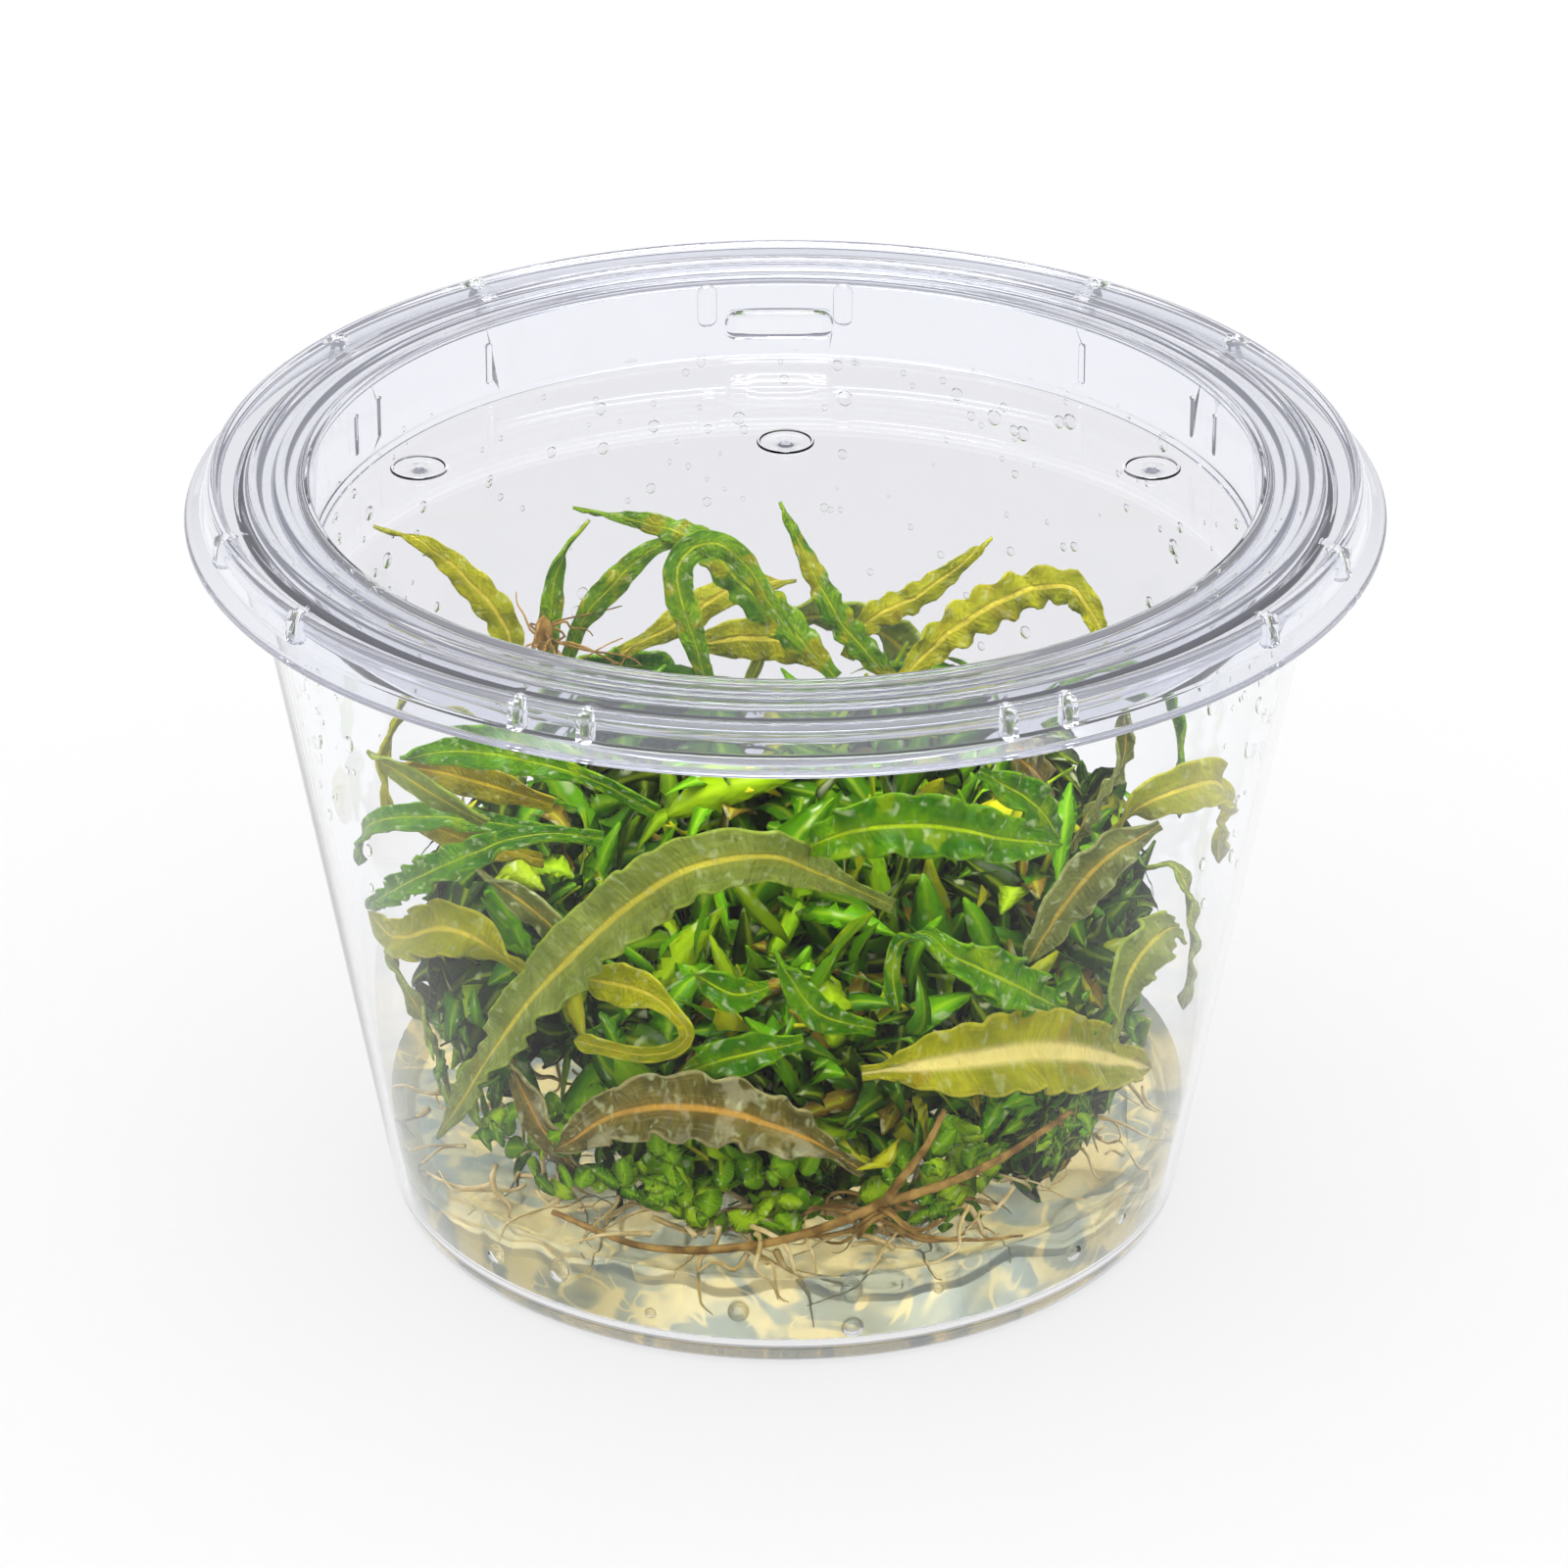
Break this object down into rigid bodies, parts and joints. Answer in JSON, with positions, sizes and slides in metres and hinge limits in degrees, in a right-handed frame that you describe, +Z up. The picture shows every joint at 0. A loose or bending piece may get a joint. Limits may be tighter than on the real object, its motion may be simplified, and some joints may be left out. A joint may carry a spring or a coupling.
{
  "type": "tissue culture cryptocoryne crispatula in a lidded cup",
  "caption": "Clear round cup with a press-on lid, a layer of pale culture gel and long crisped aquarium plants growing from it.",
  "frame": {"origin": "centre of the cup's foot ring, on the surface that it stands on", "axes": "+Z up along the cup's axis, -Y towards the front seen in the picture, +X to the viewer's right"},
  "size_m": [0.104, 0.104, 0.0697],
  "materials": {
    "clear_cup": "gloss",
    "clear_lid": "gloss",
    "gel": "gloss",
    "olive": "satin",
    "bright_green": "satin",
    "yellow_green": "satin",
    "brown_leaf": "satin",
    "undergrowth": "satin",
    "root": "matte"
  },
  "bodies": {
    "root": {"cup": "clear_cup", "lid": "clear_lid", "gel": "gel", "rootstock_front": "root", "rootstock_left": "root", "leaf_long_olive": "olive", "leaf_green_upper": "bright_green", "leaf_green_lower": "bright_green", "leaf_small_middle": "bright_green", "leaf_pale_yellow": "yellow_green", "leaf_brown_crisp": "brown_leaf", "leaf_grey_right": "olive", "leaf_yellow_right": "yellow_green", "leaf_brown_upright": "brown_leaf", "leaf_brown_short": "brown_leaf", "leaf_green_short": "bright_green", "leaf_broad_right": "olive", "leaf_low_right": "yellow_green", "leaf_crisp_left": "bright_green", "leaf_pale_left": "yellow_green", "leaf_point_left": "yellow_green", "leaf_amber_left": "yellow_green", "leaf_green_left": "bright_green", "leaf_droop_left": "bright_green", "leaf_tan_left": "brown_leaf", "leaf_mauve_left": "brown_leaf", "leaf_low_left": "brown_leaf", "leaf_strand_left": "olive", "leaf_hook": "yellow_green", "leaf_glossy_middle": "bright_green", "leaf_glossy_low": "bright_green", "leaf_top_far_left": "yellow_green", "leaf_top_narrow": "bright_green", "leaf_top_left_arch": "yellow_green", "leaf_top_long_arch": "bright_green", "leaf_top_hairpin": "bright_green", "leaf_top_middle": "bright_green", "leaf_top_right": "yellow_green", "leaf_top_right_arch": "yellow_green", "leaf_top_back": "yellow_green", "leaf_top_back_low": "yellow_green", "leaf_back_long": "olive", "leaf_back_green": "bright_green", "leaf_back_left_droop": "yellow_green", "leaf_back_right_droop": "bright_green", "leaf_back_low_left": "brown_leaf", "leaf_back_low_right": "olive", "undergrowth_centre": "undergrowth", "undergrowth_front": "undergrowth", "undergrowth_front_right": "undergrowth", "undergrowth_left": "undergrowth", "undergrowth_right": "undergrowth", "undergrowth_back_left": "undergrowth", "undergrowth_back_right": "undergrowth", "root_right": "root", "root_left": "root", "stem_right": "root"}
  },
  "joints": []
}
